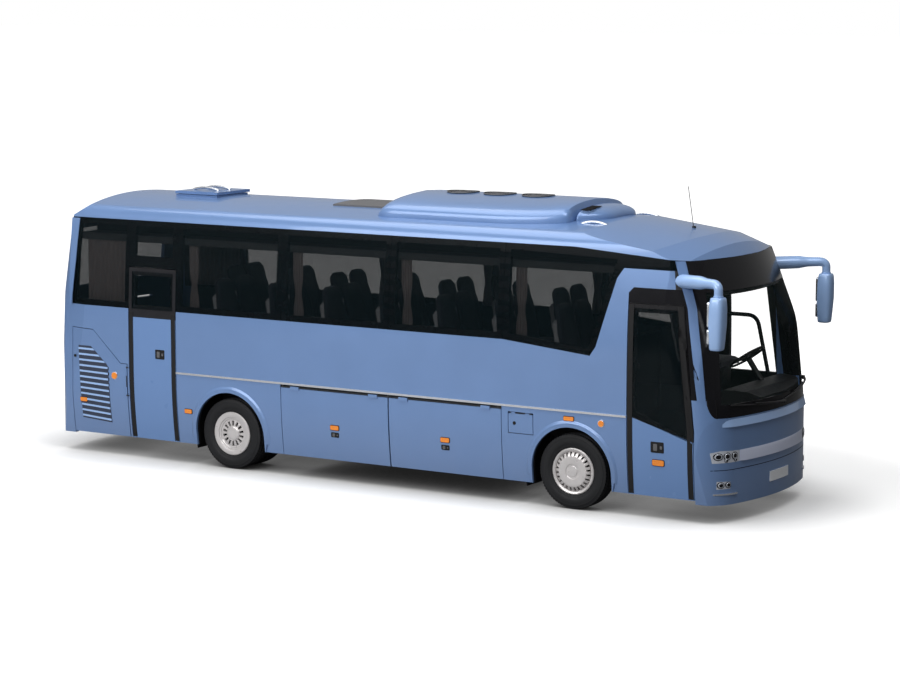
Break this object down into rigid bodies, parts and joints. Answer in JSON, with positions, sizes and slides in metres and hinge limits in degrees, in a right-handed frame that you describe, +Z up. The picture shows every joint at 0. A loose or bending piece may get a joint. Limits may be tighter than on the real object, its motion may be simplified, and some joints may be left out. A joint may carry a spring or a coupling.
{
  "type": "coach bus",
  "caption": "Mid-size touring coach with glazed sides, passenger doors, luggage lids, steered front wheels, twin rear wheels and a roof air-conditioning unit.",
  "frame": {"origin": "ground level at the middle of the vehicle's length and width", "axes": "+X forward along the length, +Y to the left, +Z up"},
  "size_m": [9.36, 2.908, 3.5277],
  "materials": {
    "body_paint": "metallic gloss",
    "window_black": "gloss",
    "tinted_glass": "tinted",
    "screen_glass": "clear",
    "rail_bright": "bright",
    "lamp_clear": "clear",
    "lamp_red": "gloss",
    "frame_steel": "satin black",
    "engine_iron": "matte",
    "floor_cover": "matte",
    "dash_plastic": "matte",
    "seat_fabric": "woven",
    "curtain_cloth": "pleated",
    "flap_rubber": "matte",
    "tyre": "matte",
    "wheel_silver": "satin"
  },
  "bodies": {
    "body": {"aerial": "frame_steel", "arch_panels": "body_paint", "back_bumper": "body_paint", "back_panel": "body_paint", "body_windows": "tinted_glass", "cabin_floor": "floor_cover", "chassis_frame": "frame_steel", "curtains": "curtain_cloth", "dashboard": "dash_plastic", "door_surround": "body_paint", "engine_block": "engine_iron", "front_axle": "frame_steel", "front_bumper": "body_paint", "front_panel": "body_paint", "front_pillars": "body_paint", "guard_rail": "frame_steel", "head_lamps": "lamp_clear", "hinge_rods": "frame_steel", "luggage_hold": "frame_steel", "luggage_racks": "dash_plastic", "mirrors": "body_paint", "mud_flaps": "flap_rubber", "rear_axle": "frame_steel", "roof_front_cap": "body_paint", "roof_panel": "body_paint", "roof_unit": "body_paint", "seat_backs": "seat_fabric", "seat_cushions": "seat_fabric", "side_panels": "body_paint", "side_rails": "rail_bright", "stepwells": "floor_cover", "tail_lamps": "lamp_red", "window_frames": "window_black", "windscreen": "screen_glass"},
    "engine_flap": {"engine_flap": "body_paint"},
    "engine_lid": {"engine_lid": "body_paint"},
    "filler_flap": {"filler_flap": "body_paint"},
    "front_door_arm": {"front_door_arm": "frame_steel"},
    "rear_door_arm": {"rear_door_arm": "frame_steel"},
    "knuckle_left": {"knuckle_left": "frame_steel"},
    "knuckle_right": {"knuckle_right": "frame_steel"},
    "tie_rod": {"tie_rod": "frame_steel"},
    "steering_wheel": {"steering_wheel": "dash_plastic"},
    "roof_hatch": {"roof_hatch": "body_paint"},
    "lid_right_rear": {"lid_right_rear": "body_paint"},
    "lid_right_front": {"lid_right_front": "body_paint"},
    "lid_left_rear": {"lid_left_rear": "body_paint"},
    "lid_left_front": {"lid_left_front": "body_paint"},
    "front_door": {"front_door": "body_paint", "front_door_glass": "tinted_glass"},
    "rear_door": {"rear_door": "body_paint", "rear_door_glass": "tinted_glass"},
    "front_wheel_left": {"front_rim_left": "wheel_silver", "front_tyre_left": "tyre"},
    "front_wheel_right": {"front_rim_right": "wheel_silver", "front_tyre_right": "tyre"},
    "rear_wheel_left": {"rear_rim_left": "wheel_silver", "rear_tyre_left": "tyre"},
    "rear_wheel_right": {"rear_rim_right": "wheel_silver", "rear_tyre_right": "tyre"}
  },
  "joints": [
    {"name": "steer_left", "type": "hinge", "parent": "body", "child": "knuckle_left", "pos_m": [2.72, 0.8, 0.424], "axis": [0, 0, 1], "range_deg": [-40, 40]},
    {"name": "steer_right", "type": "hinge", "parent": "body", "child": "knuckle_right", "pos_m": [2.72, -0.8, 0.424], "axis": [0, 0, 1], "range_deg": [-40, 40]},
    {"name": "tie_rod_swing", "type": "hinge", "parent": "knuckle_left", "child": "tie_rod", "pos_m": [2.54, 0.8, 0.37], "axis": [0, 0, 1], "range_deg": [-40, 40]},
    {"name": "steering_wheel_turn", "type": "hinge", "parent": "body", "child": "steering_wheel", "pos_m": [4.19, 0.56, 1.33], "axis": [-0.5736, 0, 0.8192], "range_deg": [-720, 720]},
    {"name": "front_wheel_left_spin", "type": "hinge", "parent": "knuckle_left", "child": "front_wheel_left", "pos_m": [2.72, 1.02, 0.424], "axis": [0, 1, 0], "continuous": true},
    {"name": "front_wheel_right_spin", "type": "hinge", "parent": "knuckle_right", "child": "front_wheel_right", "pos_m": [2.72, -1.02, 0.424], "axis": [0, 1, 0], "continuous": true},
    {"name": "rear_wheel_left_spin", "type": "hinge", "parent": "body", "child": "rear_wheel_left", "pos_m": [-1.94, 0.88, 0.424], "axis": [0, 1, 0], "continuous": true},
    {"name": "rear_wheel_right_spin", "type": "hinge", "parent": "body", "child": "rear_wheel_right", "pos_m": [-1.94, -0.88, 0.424], "axis": [0, 1, 0], "continuous": true},
    {"name": "front_door_swing", "type": "hinge", "parent": "body", "child": "front_door_arm", "pos_m": [4.08, -1.05, 0.9], "axis": [0, 0, 1], "range_deg": [0, 115]},
    {"name": "front_door_hang", "type": "hinge", "parent": "front_door_arm", "child": "front_door", "pos_m": [3.66, -1.05, 0.9], "axis": [0, 0, 1], "range_deg": [-115, 0]},
    {"name": "rear_door_swing", "type": "hinge", "parent": "body", "child": "rear_door_arm", "pos_m": [-2.84, -1.05, 0.9], "axis": [0, 0, 1], "range_deg": [0, 115]},
    {"name": "rear_door_hang", "type": "hinge", "parent": "rear_door_arm", "child": "rear_door", "pos_m": [-3.2, -1.05, 0.9], "axis": [0, 0, 1], "range_deg": [-115, 0]},
    {"name": "lid_right_rear_lift", "type": "hinge", "parent": "body", "child": "lid_right_rear", "pos_m": [-0.43, -1.202, 1.066], "axis": [-1, 0, 0], "range_deg": [0, 85]},
    {"name": "lid_right_front_lift", "type": "hinge", "parent": "body", "child": "lid_right_front", "pos_m": [1.08, -1.202, 1.066], "axis": [-1, 0, 0], "range_deg": [0, 85]},
    {"name": "lid_left_rear_lift", "type": "hinge", "parent": "body", "child": "lid_left_rear", "pos_m": [-0.43, 1.202, 1.066], "axis": [1, 0, 0], "range_deg": [0, 85]},
    {"name": "lid_left_front_lift", "type": "hinge", "parent": "body", "child": "lid_left_front", "pos_m": [1.08, 1.202, 1.066], "axis": [1, 0, 0], "range_deg": [0, 85]},
    {"name": "engine_lid_lift", "type": "hinge", "parent": "body", "child": "engine_lid", "pos_m": [-4.66829, 0, 1.74], "axis": [0, 1, 0], "range_deg": [0, 80]},
    {"name": "engine_flap_swing", "type": "hinge", "parent": "body", "child": "engine_flap", "pos_m": [-3.476, -1.204, 0.9], "axis": [0, 0, 1], "range_deg": [0, 85]},
    {"name": "filler_flap_lift", "type": "hinge", "parent": "body", "child": "filler_flap", "pos_m": [2.085, -1.20066, 1.026], "axis": [-1, 0, 0], "range_deg": [0, 85]},
    {"name": "roof_hatch_lift", "type": "hinge", "parent": "body", "child": "roof_hatch", "pos_m": [-3.37, 0, 3.192], "axis": [0, -1, 0], "range_deg": [0, 40]}
  ],
  "couplings": [
    {"joint": "steer_right", "follows": "steer_left", "ratio": 1},
    {"joint": "tie_rod_swing", "follows": "steer_left", "ratio": -1},
    {"joint": "steering_wheel_turn", "follows": "steer_left", "ratio": 18},
    {"joint": "front_door_hang", "follows": "front_door_swing", "ratio": -1},
    {"joint": "rear_door_hang", "follows": "rear_door_swing", "ratio": -1}
  ]
}
